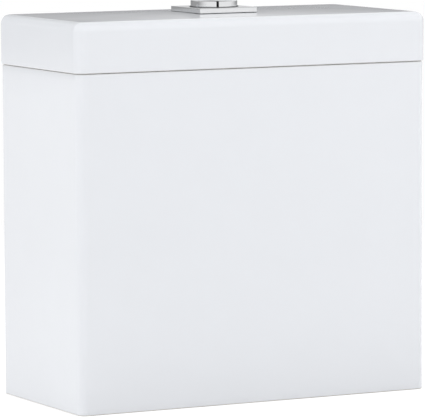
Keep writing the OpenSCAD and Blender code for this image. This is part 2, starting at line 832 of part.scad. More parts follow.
module outlet_backnut() {
    nut_outer_r = outlet_d / 2 + backnut_wall;
    color("white") translate([0, 0, recess_h - backnut_h]) difference() {
        union() {
            cylinder(r = nut_outer_r, h = backnut_h);
            for (lug = [1:backnut_lugs]) rotate(lug * 360 / backnut_lugs)
                translate([nut_outer_r - 2, -4, 0]) cube([5, 8, backnut_h - 3]);
        }
        translate([0, 0, -eps]) cylinder(r = outlet_d / 2 + pin_gap, h = backnut_h + 2 * eps);
    }
}

module pan_seal() {
    hug_r = outlet_d / 2 + backnut_wall + 3 + slide_gap;
    full_r = hug_r + seal_wall;
    color("dimgray") rotate_extrude() polygon([
        [outlet_d / 2 + slide_gap, seal_low_z], [full_r - seal_wall, seal_low_z],
        [full_r, recess_h - backnut_h], [full_r, recess_h - stop_gap], [hug_r, recess_h - stop_gap],
        [hug_r, recess_h - backnut_h - stop_gap],
        [outlet_d / 2 + slide_gap, recess_h - backnut_h - stop_gap]]);
}

// Fill valve

module inlet_shank() {
    socket_z = riser_z + 12;
    color("white") at_fill() rotate_extrude() polygon([
        [shank_bore_r, tail_end_z], [inlet_r, tail_end_z], [inlet_r, shank_step_z], [shank_r, shank_step_z],
        [shank_r, flange_z], [inlet_flange_r, flange_z], [inlet_flange_r, riser_z],
        [riser_in_r - pin_gap, riser_z], [riser_in_r - pin_gap, socket_z], [supply_r, socket_z + 3],
        [supply_r, fill_head_z + neck_h], [shank_bore_r, fill_head_z + neck_h]]);
}

module inlet_gasket() {
    color("dimgray") at_fill() translate([0, 0, floor_z])
        ring(inlet_flange_r, shank_r + pin_gap, gasket_t);
}

module inlet_backnut() {
    color("white") at_fill() translate([0, 0, recess_h - inlet_nut_h]) {
        hex_nut(inlet_flange_r - 1, shank_r + pin_gap, inlet_nut_h);
        translate([0, 0, inlet_nut_h - 2]) ring(inlet_flange_r, shank_r + pin_gap, 2);
    }
}

module inlet_filter() {
    filter_r = shank_bore_r - pin_gap;
    filter_h = 24;
    filter_wall = 0.8;
    color("steelblue") at_fill() translate([0, 0, tail_end_z]) difference() {
        cylinder(r = filter_r, h = filter_h);
        translate([0, 0, -eps]) cylinder(r = filter_r - filter_wall, h = filter_h - filter_wall + eps);
    }
}

module riser_tube() {
    slots = 4;
    slot_w = 4;
    slot_h = 14;
    slot_z = riser_z + 1.3 * slot_h;
    color("white") at_fill() difference() {
        translate([0, 0, riser_z]) ring(riser_r, riser_in_r, fill_head_z - riser_z);
        for (slot = [1:slots]) rotate(slot * 360 / slots) translate([0, -slot_w / 2, slot_z])
            cube([riser_d, slot_w, slot_h]);
    }
}

module stop_collar() {
    color("lightsteelblue") at_fill() translate([0, 0, float_z - stop_gap - collar_h]) difference() {
        cylinder(r = riser_r + collar_wall, h = collar_h);
        translate([0, 0, -eps]) cylinder(r = riser_r + pin_gap, h = collar_h + 2 * eps);
        grooves(riser_r + collar_wall, collar_h - 2, 12);
    }
}

module fill_head() {
    chamber_h = 6;
    color("white") at_fill() rotate_extrude() polygon([
        [supply_r + pin_gap, fill_head_z], [riser_r + 1, fill_head_z], [riser_r + 1, fill_head_z + neck_h],
        [head_r, fill_head_z + neck_h + 4], [head_r, cap_z], [chamber_r, cap_z],
        [chamber_r, cap_z - chamber_h], [shank_bore_r, cap_z - chamber_h],
        [shank_bore_r, fill_head_z + neck_h], [supply_r + pin_gap, fill_head_z + neck_h]]);
}

module diaphragm() {
    pad_t = 4;
    color("dimgray") at_fill() translate([0, 0, cap_z - pad_t])
        cylinder(r = chamber_r - slide_gap, h = pad_t - stop_gap);
}

module fill_cap() {
    ear_t = 3;
    ear_r = 5.5;
    ear_y = lever_w / 2 + slide_gap;
    color("lightsteelblue") at_fill() difference() {
        union() {
            translate([0, 0, cap_z]) cylinder(r = cap_r, h = cap_t);
            for (side = [0, 1]) mirror([0, side, 0]) upright_plate(ear_y, ear_t) {
                translate([lever_pivot_x - ear_r, cap_top_z - eps])
                    square([2 * ear_r, lever_z - cap_top_z + eps]);
                translate([lever_pivot_x, lever_z]) circle(ear_r);
            }
        }
        translate([0, 0, cap_z]) grooves(cap_r, cap_t - 2, 12);
        translate([lever_pivot_x, 0, lever_z]) rotate([90, 0, 0])
            cylinder(r = lever_pin_d / 2 + pin_gap, h = head_d, center = true);
    }
}

module lever_pin() {
    color("silver") at_fill() translate([lever_pivot_x, 0, lever_z]) rotate([90, 0, 0])
        cylinder(r = lever_pin_d / 2, h = lever_w + 9, center = true);
}

module fill_lever() {
    slot_l = link_d + 5;
    color("tomato") at_fill() translate([lever_pivot_x, 0, lever_z]) rotate([0, lever_half_swing, 0])
        difference() {
            upright_plate(-lever_w / 2, lever_w) {
                translate([0, -lever_half_t]) square([lever_l + slot_l / 2 + 2, 2 * lever_half_t]);
                circle(lever_pin_d / 2 + 3);
            }
            rotate([90, 0, 0]) cylinder(r = lever_pin_d / 2 + pin_gap, h = 2 * lever_w, center = true);
            translate([lever_l - slot_l / 2, -link_d / 2 - slide_gap, -2 * lever_half_t])
                cube([slot_l, link_d + 2 * slide_gap, 4 * lever_half_t]);
        }
}

module float_cup() {
    ear_r = link_d / 2 + 3;
    color("cornflowerblue") at_fill() translate([0, 0, float_z]) difference() {
        union() {
            float_shell(float_d / 2, riser_r + slide_gap, float_h, float_wall);
            translate([0, 0, float_h - float_ear_t]) linear_extrude(float_ear_t) {
                translate([float_d / 2 - 1, -ear_r]) square([link_x - float_d / 2 + 1, 2 * ear_r]);
                translate([link_x, 0]) circle(ear_r);
            }
        }
        translate([link_x, 0, float_h - float_ear_t - eps])
            cylinder(r = link_d / 2 + pin_gap, h = float_ear_t + 2 * eps);
        grooves(float_d / 2, float_h - 2 * float_ear_t, 18);
    }
}

module link_rod() {
    low_z = float_z + float_h - float_ear_t;
    color("silver") at_fill() translate([link_x, 0, low_z]) cylinder(r = link_d / 2, h = link_end_z - low_z);
}

module link_nuts() {
    arm_z = lever_z - float_travel / 2;
    apart = lever_half_t / cos(lever_half_swing) + nut_r * tan(lever_half_swing) + stop_gap;
    color("gainsboro") at_fill() for (low_z = [arm_z - apart - nut_h, arm_z + apart])
        translate([link_x, 0, low_z]) hex_nut(nut_r, link_d / 2 + pin_gap, nut_h);
}

// Fixings

module fixing_bolts() {
    under_head_z = floor_z + cone_h + steel_t;
    thread_z = recess_h - steel_t - bolt_nut_h - 1;
    color("silver") at_bolts() {
        translate([0, 0, tail_end_z]) cylinder(r = bolt_thread_d / 2, h = thread_z - tail_end_z);
        translate([0, 0, thread_z]) cylinder(r = bolt_r, h = under_head_z - thread_z);
        translate([0, 0, under_head_z]) difference() {
            cylinder(r = bolt_head_r, h = bolt_head_h);
            translate([-1, -bolt_head_r, bolt_head_h - 2]) cube([2, 2 * bolt_head_r, 2 + eps]);
        }
    }
}

module fixing_rubber_washers() {
    color("dimgray") at_bolts() rotate_extrude() polygon([
        [bolt_r + pin_gap, floor_z], [cone_r, floor_z], [steel_r, floor_z + cone_h],
        [bolt_r + pin_gap, floor_z + cone_h]]);
}

module fixing_steel_washers() {
    color("silver") at_bolts() for (low_z = [floor_z + cone_h, recess_h - steel_t])
        translate([0, 0, low_z]) ring(steel_r, bolt_r + pin_gap, steel_t);
}

module fixing_nuts() {
    color("silver") at_bolts() translate([0, 0, recess_h - steel_t - bolt_nut_h])
        hex_nut(bolt_nut_r, bolt_r + pin_gap, bolt_nut_h);
}

tank();
lid();
button_plate();
button_housing();
housing_washer();
housing_nut();
full_button();
half_button();
full_rod();
half_rod();
full_spring();
half_spring();
full_clip();
half_clip();
valve_base();
valve_cage();
valve_tower();
valve_head();
rocker_pin();
full_rocker();
half_rocker();
overflow_tube();
lifting_yoke();
tube_float();
valve_seal();
seal_clamp();
half_float();
outlet_gasket();
outlet_backnut();
pan_seal();
inlet_shank();
inlet_gasket();
inlet_backnut();
inlet_filter();
riser_tube();
stop_collar();
fill_head();
fill_cap();
diaphragm();
lever_pin();
fill_lever();
float_cup();
link_rod();
link_nuts();
fixing_bolts();
fixing_rubber_washers();
fixing_steel_washers();
fixing_nuts();
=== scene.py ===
"""Looks of a boxy close-coupled toilet cistern: a glazed china tank and lid, a chrome push button,
and the plastic, rubber and steel works inside. Lengths are metres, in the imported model's frame."""

import json
import math

import bpy
import numpy as np
from mathutils import Matrix, Vector

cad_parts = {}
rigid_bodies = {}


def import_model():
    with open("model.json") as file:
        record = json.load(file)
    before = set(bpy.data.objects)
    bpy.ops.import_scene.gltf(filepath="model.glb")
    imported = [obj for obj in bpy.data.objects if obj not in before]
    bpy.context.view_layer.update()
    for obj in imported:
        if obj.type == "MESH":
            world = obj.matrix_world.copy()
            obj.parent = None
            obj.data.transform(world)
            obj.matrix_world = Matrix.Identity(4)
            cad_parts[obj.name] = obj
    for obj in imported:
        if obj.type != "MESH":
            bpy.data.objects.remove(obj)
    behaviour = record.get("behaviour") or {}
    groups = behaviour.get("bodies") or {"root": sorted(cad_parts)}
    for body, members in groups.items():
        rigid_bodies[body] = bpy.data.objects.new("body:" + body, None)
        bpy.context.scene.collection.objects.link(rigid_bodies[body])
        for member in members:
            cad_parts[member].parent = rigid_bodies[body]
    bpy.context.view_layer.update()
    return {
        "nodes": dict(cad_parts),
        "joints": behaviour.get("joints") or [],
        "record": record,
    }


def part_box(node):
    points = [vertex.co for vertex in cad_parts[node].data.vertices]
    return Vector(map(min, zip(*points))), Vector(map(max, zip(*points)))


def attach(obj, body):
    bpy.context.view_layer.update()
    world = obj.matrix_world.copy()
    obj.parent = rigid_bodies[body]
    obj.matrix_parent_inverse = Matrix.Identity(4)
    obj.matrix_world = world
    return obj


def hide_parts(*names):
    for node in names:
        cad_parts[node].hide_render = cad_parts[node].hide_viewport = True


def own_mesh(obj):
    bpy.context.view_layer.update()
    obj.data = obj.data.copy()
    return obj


for left_over in list(bpy.data.objects):
    bpy.data.objects.remove(left_over)
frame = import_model()

MM = 0.001
LID_LOW, LID_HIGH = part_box("lid")
LID_CROWN = 0.0015
LID_THICKNESS = 0.009
LID_EDGE_Z = LID_HIGH.z - LID_CROWN
LID_CEILING_Z = LID_EDGE_Z - LID_THICKNESS
LID_WALL = 0.0112
LID_CORNER_R, LID_BACK_CORNER_R = 0.0095, 0.003
BUTTON_HOLE_R = 0.026
TANK_LOW, TANK_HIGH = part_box("tank")
SEAM_Z = TANK_HIGH.z
TANK_WALL = 0.010
TANK_CORNER_R, TANK_BACK_CORNER_R = 0.008, 0.003
HOLLOW_CORNER_R = 0.008
BOLT_X = 0.0775
INLET_LOW, INLET_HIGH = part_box("inlet_shank")
INLET_X, INLET_Y = ((INLET_LOW + INLET_HIGH) / 2).xy


# Objects and camera

def added(name, data):
    """A new object that shows that data, linked to the scene."""
    thing = bpy.data.objects.new(name, data)
    bpy.context.scene.collection.objects.link(thing)
    return thing


def direction(azimuth, elevation):
    """Unit vector at an azimuth, in degrees from the front towards the right, and an elevation."""
    turn, lift = math.radians(azimuth), math.radians(elevation)
    return Vector((math.sin(turn) * math.cos(lift), -math.cos(turn) * math.cos(lift), math.sin(lift)))


def photo_camera():
    """Camera at the photograph's viewing angle: it looks at a point in the middle of the tank."""
    target, distance = Vector((-0.002583, 0, 0.178256)), 3.939
    back, roll = direction(-27.377, 5.838), math.radians(-0.272)
    data = bpy.data.cameras.new("photo_camera")
    data.sensor_width = 36
    data.lens = 344.55
    data.clip_end = 100
    camera = added("photo_camera", data)
    turn = (-back).to_track_quat("-Z", "Y").to_matrix().to_4x4()
    camera.matrix_world = Matrix.Translation(target + distance * back) @ turn @ Matrix.Rotation(roll, 4, "Z")
    bpy.context.scene.camera = camera


# Shader arithmetic

class Wire:
    """One output of a shader node. Arithmetic on it adds Math nodes to its tree."""

    def __init__(self, tree, socket):
        self.tree = tree
        self.socket = socket

    def math(self, operation, *others):
        """A Math node of this wire and, after it, the others."""
        values = dict(enumerate((self,) + others))
        return put(self.tree, "ShaderNodeMath", {"operation": operation}, values)

    def __add__(self, other):
        return self.math("ADD", other)

    def __sub__(self, other):
        return self.math("SUBTRACT", other)

    def __rsub__(self, other):
        return self.math("MULTIPLY_ADD", -1.0, other)

    def __mul__(self, other):
        return self.math("MULTIPLY", other)

    def __abs__(self):
        return self.math("ABSOLUTE")

    __radd__ = __add__
    __rmul__ = __mul__

    def most(self, *others):
        """The largest of this wire and the others."""
        largest = self
        for other in others:
            largest = largest.math("MAXIMUM", other)
        return largest

    def step(self, low, high):
        """Rises smoothly from 0 at low to 1 at high, or falls where low is the larger. The node's sockets
        1 and 2 are the range it maps from, 3 and 4 the range it maps to."""
        flip = low > high
        ends = {1: min(low, high), 2: max(low, high), 3: float(flip), 4: float(not flip)}
        return put(self.tree, "ShaderNodeMapRange", {"interpolation_type": "SMOOTHSTEP"}, {0: self, **ends})


def put(tree, kind, settings=None, sockets=None, out=0):
    """Adds a node, sets it up, feeds its sockets with values or wires, and returns one of its outputs."""
    node = tree.nodes.new(kind)
    for key, value in (settings or {}).items():
        setattr(node, key, value)
    for key, value in (sockets or {}).items():
        if isinstance(value, Wire):
            tree.links.new(value.socket, node.inputs[key])
        else:
            node.inputs[key].default_value = value
    return Wire(tree, node.outputs[out]) if node.outputs else None


def axes(place):
    """The x, the y and the z of a wire that carries a vector."""
    return [put(place.tree, "ShaderNodeSeparateXYZ", None, {0: place}, axis) for axis in range(3)]


def mixed(tree, share, first, second):
    """First colour where share is 0, second where it is 1. The node's sockets 6 and 7 are its colours."""
    return put(tree, "ShaderNodeMix", {"data_type": "RGBA"}, {0: share, 6: first, 7: second}, 2)


def cleared(owner):
    """The emptied node tree of a material or a world."""
    owner.use_nodes = True
    owner.node_tree.nodes.clear()
    return owner.node_tree


class Finish:
    """A material under construction, with the object's own coordinates in millimetres."""

    def __init__(self, name):
        self.material = bpy.data.materials.new(name)
        self.tree = cleared(self.material)
        metres = put(self.tree, "ShaderNodeTexCoord", out="Object")
        self.place = put(self.tree, "ShaderNodeVectorMath", {"operation": "SCALE"},
                         {0: metres, "Scale": 1 / MM})
        self.x, self.y, self.z = axes(self.place)

    def stretched(self, x, y, z):
        """The coordinates with each axis multiplied, for patterns that run along one way."""
        return put(self.tree, "ShaderNodeVectorMath", {"operation": "MULTIPLY"},
                   {0: self.place, 1: (x, y, z)})

    def noise(self, size, detail=2.0, place=None):
        """Soft noise from 0 to 1 whose lumps are about size millimetres across."""
        return put(self.tree, "ShaderNodeTexNoise", None,
                   {"Vector": place or self.place, "Scale": 1 / size, "Detail": detail})

    def specks(self, spacing, radius):
        """1 in sparse round specks of that radius, about one to each cube of that spacing."""
        far = put(self.tree, "ShaderNodeTexVoronoi", None, {"Vector": self.place, "Scale": 1 / spacing})
        return far.step(radius / spacing, 0.5 * radius / spacing)

    def mix(self, share, first, second):
        """First colour where share is 0, second where it is 1."""
        return mixed(self.tree, share, first, second)

    def bump(self, height, millimetres):
        """Normal of a relief whose height runs from 0 to 1 over that many millimetres."""
        return put(self.tree, "ShaderNodeBump", None,
                   {"Height": height, "Distance": millimetres * MM, "Strength": 1.0})

    def done(self, **sockets):
        """Ends the material in one Principled shader."""
        named = {key.replace("_", " "): value for key, value in sockets.items()}
        shader = put(self.tree, "ShaderNodeBsdfPrincipled", None, named)
        put(self.tree, "ShaderNodeOutputMaterial", None, {"Surface": shader})
        return self.material


# Finishes

def china_glaze(name, hollow_x, hollow_y, middle_y, ceiling_z, rim_z):
    """White vitreous glaze over clay: long faint waves, a fine orange peel and a few pin specks. Inside
    the walls up to ceiling_z, and within a millimetre of rim_z, the clay is left bare, matt and warmer.
    The hollow between the walls reaches hollow_x and hollow_y to either side of its middle. All these are
    millimetres."""
    f = Finish(name)
    waves = f.noise(70, 1.0)
    peel = f.noise(2.2, 2.0)
    specks = f.specks(24, 0.22)
    depth = (hollow_x - abs(f.x)).math("MINIMUM", hollow_y - abs(f.y - middle_y))
    inside = depth.step(-1.2, -0.4) * f.z.step(ceiling_z + 1, ceiling_z + 0.3)
    # In the glaze this mask is only the bare unglazed clay, with no painted shade.
    bare_clay_and_painted_shade = inside.most(abs(f.z - rim_z).step(1.0, 0.5))
    cloud = f.noise(38, 3.0)
    white = f.mix(cloud, (0.79, 0.80, 0.826, 1), (0.806, 0.817, 0.844, 1))
    clay = f.mix(f.noise(9, 4.0), (0.70, 0.66, 0.59, 1), (0.76, 0.73, 0.67, 1))
    skin = f.mix(bare_clay_and_painted_shade, white, clay)
    colour = f.mix(specks * (1 - bare_clay_and_painted_shade) * 0.35, skin, (0.34, 0.30, 0.26, 1))
    grain = f.noise(0.7, 3.0)
    relief = f.bump(peel * 0.012 + waves * 0.1 + bare_clay_and_painted_shade * grain * 0.25, 0.25)
    rough = 0.07 + 0.05 * cloud + bare_clay_and_painted_shade * (0.62 + 0.1 * grain)
    return f.done(Base_Color=colour, Roughness=rough, Normal=relief, IOR=1.52)


def polished_chrome(name, painted_shade_share):
    """Chrome plate on moulded plastic: a mirror with faint finger haze and hair scratches, rubbed to a satin
    on the faces that fingers press from above. Where the share that the mask function gives is 1, the
    finish is painted near black, dull and not metallic: painted shade in a gap or along a contact line."""
    f = Finish(name)
    # Mask of painted shade: where it is 1 the chrome is painted near black.
    bare_clay_and_painted_shade = painted_shade_share(f)
    facing = put(f.tree, "ShaderNodeTexCoord", out="Normal")
    rubbed = axes(facing)[2].step(0.8, 0.98)
    haze = f.noise(17, 3.0).step(0.42, 0.72)
    hairs = f.noise(1.0, 2.0, f.stretched(2.4, 0.05, 0.4)).step(0.6, 0.75)
    plated = f.mix(f.noise(26), (0.745, 0.755, 0.77, 1), (0.80, 0.805, 0.81, 1))
    # Painted shade: the colour goes near black where the mask is 1.
    tint = f.mix(bare_clay_and_painted_shade, plated, (0.035, 0.036, 0.038, 1))
    relief = f.bump(f.noise(6, 1.0), 0.012)
    rough = 0.035 + 0.05 * haze + 0.05 * hairs + 0.33 * rubbed + 0.45 * bare_clay_and_painted_shade
    return f.done(Base_Color=tint, Metallic=1 - bare_clay_and_painted_shade, Roughness=rough, Normal=relief)


def painted_plate_foot_shade(f):
    """1 on the lowest edge of the button plate, where it meets the lid: painted shade along the contact line.
    """
    foot_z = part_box("button_plate")[0].z / MM
    return f.z.step(foot_z + 0.3, foot_z + 0.2)


def painted_split_shade(f):
    """1 on the walls of the narrow split between the two buttons, which are painted near black as shade."""
    left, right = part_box("half_button")[1].x / MM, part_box("full_button")[0].x / MM
    middle, half_gap = (left + right) / 2, (right - left) / 2
    return abs(f.x - middle).step(half_gap + 0.16, half_gap + 0.06)


def moulded_plastic(name, colour, shine):
    """Injection-moulded plastic: a slightly uneven colour, a fine eroded grain and soft flow streaks."""
    f = Finish(name)
    flow = f.noise(11, 2.0, f.stretched(1, 1, 0.18))
    grain = f.noise(0.45, 2.0)
    deep = tuple(0.93 * c for c in colour) + (1,)
    light = tuple(min(1, 1.03 * c) for c in colour) + (1,)
    tone = f.mix(flow, deep, light)
    relief = f.bump(grain * 0.06 + flow * 0.05, 0.35)
    return f.done(Base_Color=tone, Roughness=shine + 0.1 * grain, Normal=relief, IOR=1.49)


def moulded_rubber(name, colour):
    """Rubber: matt, with a dusty bloom in soft patches and a fine pebbled skin."""
    f = Finish(name)
    bloom = f.noise(14, 4.0).step(0.45, 0.75)
    grain = f.noise(0.6, 2.0)
    dusty = tuple(0.75 * c + 0.05 for c in colour) + (1,)
    tone = f.mix(bloom, colour + (1,), dusty)
    relief = f.bump(grain, 0.05)
    return f.done(Base_Color=tone, Roughness=0.55 + 0.2 * grain + 0.1 * bloom, Normal=relief, IOR=1.5)


def turned_steel(name):
    """Zinc-plated steel with fine turning lines round upright pieces and a cloudy dull bloom."""
    f = Finish(name)
    lines = f.noise(0.35, 2.0, f.stretched(0.06, 0.06, 1))
    bloom = f.noise(7, 3.0)
    tint = f.mix(bloom, (0.56, 0.56, 0.57, 1), (0.72, 0.72, 0.71, 1))
    relief = f.bump(lines * 0.3, 0.04)
    return f.done(Base_Color=tint, Metallic=1.0, Roughness=0.24 + 0.14 * bloom, Normal=relief)


def dress_nodes():
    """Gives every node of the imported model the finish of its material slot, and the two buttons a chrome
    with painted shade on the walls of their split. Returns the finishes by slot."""
    finishes = {
        "glaze": china_glaze("tank_glaze", hollow_x=176.0, hollow_y=75.5, middle_y=0.6, ceiling_z=400.0,
                             rim_z=0.0),
        # The plate's chrome is painted near black along its foot: painted shade where it meets the lid.
        "chrome": polished_chrome("chrome", painted_plate_foot_shade),
        "white_plastic": moulded_plastic("white_plastic", (0.80, 0.80, 0.775), 0.3),
        "grey_plastic": moulded_plastic("grey_plastic", (0.52, 0.535, 0.55), 0.34),
        "light_blue_plastic": moulded_plastic("light_blue_plastic", (0.36, 0.50, 0.64), 0.26),
        "blue_plastic": moulded_plastic("blue_plastic", (0.06, 0.19, 0.50), 0.26),
        "red_plastic": moulded_plastic("red_plastic", (0.55, 0.045, 0.03), 0.28),
        "dark_rubber": moulded_rubber("dark_rubber", (0.022, 0.022, 0.024)),
        "red_rubber": moulded_rubber("red_rubber", (0.36, 0.05, 0.035)),
        "steel": turned_steel("steel"),
    }
    slots = {row["node"]: row["material_slot"] for row in frame["record"]["subparts"]}
    for node, part in frame["nodes"].items():
        part.data.materials.clear()
        part.data.materials.append(finishes[slots[node]])
    # The buttons' chrome is painted near black on the walls of their split: painted shade in the gap.
    button_finish = polished_chrome("button_chrome", painted_split_shade)
    for node in ("full_button", "half_button"):
        frame["nodes"][node].data.materials[0] = button_finish
    return finishes


# Surfaces

def circle(count):
    """Angles of that many even steps round a circle."""
    return 2 * np.pi * np.arange(count) / count


def eased(steps, count):
    """Those steps out of count as shares of the way, crowded at both ends by half a cosine wave."""
    return (1 - np.cos(np.pi * steps / count)) / 2


def turned(x, y, reach, angle, height):
    """Points at a reach and an angle round the upright axis through x and y, and at a height."""
    reach, angle, height = np.broadcast_arrays(reach, angle, height)
    return np.stack([x + reach * np.cos(angle), y + reach * np.sin(angle), height], -1).reshape(-1, 3)


def grid_faces(rows, columns, close_rows):
    """Quads of a grid of rows x columns points whose columns close on themselves."""
    r = np.arange(rows if close_rows else rows - 1)[:, None]
    c = np.arange(columns)[None, :]
    below, after = (r + 1) % rows, (c + 1) % columns
    corners = [r * columns + c, r * columns + after, below * columns + after, below * columns + c]
    return np.stack([np.broadcast_to(k, (len(r), columns)) for k in corners], -1).reshape(-1, 4)


def outward(points, quads):
    """The same quads, turned over if the solid they enclose comes out negative."""
    a, b, c, d = (points[quads[:, k]] for k in range(4))
    volume = np.einsum("ij,ij->", a, np.cross(b, c)) + np.einsum("ij,ij->", a, np.cross(c, d))
    return quads if volume > 0 else quads[:, ::-1]


def drilled(mesh, holes, low, high):
    """The mesh less upright round holes from low to high, each given by its x, its y and its radius."""
    sides = 64
    points, faces = [], []
    for place, (x, y, radius) in enumerate(holes):
        points += [turned(x, y, radius, circle(sides), z) for z in (low, high)]
        foot = 2 * sides * place + np.arange(sides)
        faces += (grid_faces(2, sides, False) + foot[0]).tolist()
        faces += [foot[::-1].tolist(), (foot + sides).tolist()]
    drills = bpy.data.meshes.new("drills")
    drills.from_pydata(np.concatenate(points).tolist(), [], faces)
    blank, cutter = added(mesh.name, mesh), added(drills.name, drills)
    cut = blank.modifiers.new("holes", "BOOLEAN")
    cut.operation, cut.solver, cut.object = "DIFFERENCE", "EXACT", cutter
    result = bpy.data.meshes.new_from_object(blank.evaluated_get(bpy.context.evaluated_depsgraph_get()))
    for thing in (blank, cutter):
        bpy.data.objects.remove(thing)
    return result


def piece(name, points, faces, finish, body, slot, *nodes, holes=(), drill=(0, 0)):
    """One object from points and faces, with round holes drilled between two heights. It is smooth except
    over sharp edges, rides on a body and stands in place of CAD nodes."""
    sharp_angle = math.radians(40)
    mesh = bpy.data.meshes.new(name)
    mesh.from_pydata(points.tolist(), [], [list(face) for face in faces])
    if holes:
        mesh = drilled(mesh, holes, *drill)
    mesh.shade_smooth()
    mesh.set_sharp_from_angle(angle=sharp_angle)
    mesh.materials.append(finish)
    thing = added(name, mesh)
    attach(thing, body)
    if nodes:
        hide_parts(*nodes)
    return thing


def straight(start, end, count):
    """Points from start towards end, without the end, crowded at both ends."""
    return np.array(start) + np.outer(eased(np.arange(count), count), np.subtract(end, start))


def quarter(centre, radius, first, count):
    """Points of a quarter circle from the angle first, without its last point."""
    angle = np.radians(first + 90 * np.arange(count) / count)
    return np.array(centre) + radius * np.stack([np.cos(angle), np.sin(angle)], 1)


def outline(half_w, front, back, front_r, back_r):
    """Rounded rectangle from above, counter-clockwise from the front's left end: straight sides joined
    by quarter circles, always with the same count of points on each."""
    along, across, corner = 44, 28, 10
    fx, fy, bx, by = half_w - front_r, front + front_r, half_w - back_r, back - back_r
    return np.concatenate([
        straight((-fx, front), (fx, front), along), quarter((fx, fy), front_r, -90, corner),
        straight((half_w, fy), (half_w, by), across), quarter((bx, by), back_r, 0, corner),
        straight((bx, back), (-bx, back), along), quarter((-bx, by), back_r, 90, corner),
        straight((-half_w, by), (-half_w, fy), across), quarter((-fx, fy), front_r, 180, corner)])


# Lid

def lid_outline(inset, back_inset):
    """Outer outline of the lid, drawn in at the front and the sides, and by its own share at the back."""
    least_r = 0.0004
    return outline(LID_HIGH.x - inset, LID_LOW.y + inset, LID_HIGH.y - back_inset,
                   max(LID_CORNER_R - inset, least_r), LID_BACK_CORNER_R)


def lid_hollow(inset):
    """Outline of the hollow under the lid, drawn in all round."""
    side, corner_r = LID_WALL + inset, HOLLOW_CORNER_R - inset
    return outline(LID_HIGH.x - side, LID_LOW.y + side, LID_HIGH.y - side, corner_r, corner_r)


def rounded_back(drop, radius):
    """How far a rounded edge of that radius has drawn in where it is drop below its crest."""
    left = max(radius - drop, 0)
    return radius - math.sqrt(radius ** 2 - left ** 2)


def lid_shell():
    """The lid as one closed sheet that runs up the button hole, over the top, down the outside, under
    the rim, up the inside and along the ceiling back to the hole. Each row of the sheet is an outline.
    The top rises by the crown times (1 - u squared)(1 - v squared), u and v being -1 and 1 at its edges;
    the upper and lower edges are quarter circles at the front and sides and small ones at the back. The
    lid stands on the inner part of its rim, so that a narrow shadow gap runs round the seam."""
    edge_r, seam_r, back_r, hole_edge, inner_r = 0.009, 0.0012, 0.0015, 0.001, 0.003
    gap, gap_depth = 0.00045, 0.0065
    skirt_z = SEAM_Z + gap
    top = lid_outline(edge_r, back_r)
    reach_x, reach_y = top[:, 0].max(), (top[:, 1].max() - top[:, 1].min()) / 2
    middle_y = (top[:, 1].max() + top[:, 1].min()) / 2
    spoke = top / np.linalg.norm(top, axis=1)[:, None]
    hole = spoke * BUTTON_HOLE_R
    rows = []

    def domed(xy):
        u, v = xy[:, 0] / reach_x, (xy[:, 1] - middle_y) / reach_y
        return LID_EDGE_Z + LID_CROWN * (1 - u ** 2) * (1 - v ** 2)

    def row(xy, z):
        rows.append(np.column_stack([xy, np.broadcast_to(z, len(xy))]))

    for share in (0, 0.1, 0.9):
        row(hole, LID_CEILING_Z + share * (LID_HIGH.z - 2 * hole_edge - LID_CEILING_Z))
    for angle in np.radians(np.arange(0, 90, 15)):
        xy = spoke * (BUTTON_HOLE_R + hole_edge * (1 - math.cos(angle)))
        row(xy, domed(xy) - hole_edge * (1 - math.sin(angle)))
    for share in eased(np.arange(31), 30):
        xy = (1 - share) * spoke * (BUTTON_HOLE_R + hole_edge) + share * top
        row(xy, domed(xy))
    for angle in np.radians(np.arange(6, 91, 6)):
        drop = edge_r * (1 - math.cos(angle))
        row(lid_outline(edge_r * (1 - math.sin(angle)), rounded_back(drop, back_r)), LID_EDGE_Z - drop)
    for share in eased(np.arange(1, 14), 14):
        row(lid_outline(0, 0), (1 - share) * (LID_EDGE_Z - edge_r) + share * (skirt_z + seam_r))
    for angle in np.radians(np.arange(0, 91, 10)):
        rise = seam_r * (1 - math.sin(angle))
        row(lid_outline(seam_r * (1 - math.cos(angle)), rounded_back(rise, back_r)), skirt_z + rise)
    for share in (0.1, 0.9, 1):
        row(lid_outline(seam_r + share * gap_depth, back_r + share * gap_depth), skirt_z)
    rim = lid_outline(seam_r + gap_depth, back_r + gap_depth)
    for share in (0, 0.1, 0.9, 1):
        row((1 - share) * rim + share * lid_hollow(0), SEAM_Z)
    for share in (0.02, 0.5, 0.98):
        row(lid_hollow(0), (1 - share) * SEAM_Z + share * (LID_CEILING_Z - inner_r))
    for angle in np.radians(np.arange(0, 91, 15)):
        row(lid_hollow(inner_r * (1 - math.cos(angle))), LID_CEILING_Z - inner_r * (1 - math.sin(angle)))
    for share in eased(np.arange(1, 12), 12):
        row((1 - share) * lid_hollow(inner_r) + share * hole, LID_CEILING_Z)
    points = np.concatenate(rows)
    faces = outward(points, grid_faces(len(rows), len(top), True)).tolist()
    return points, faces


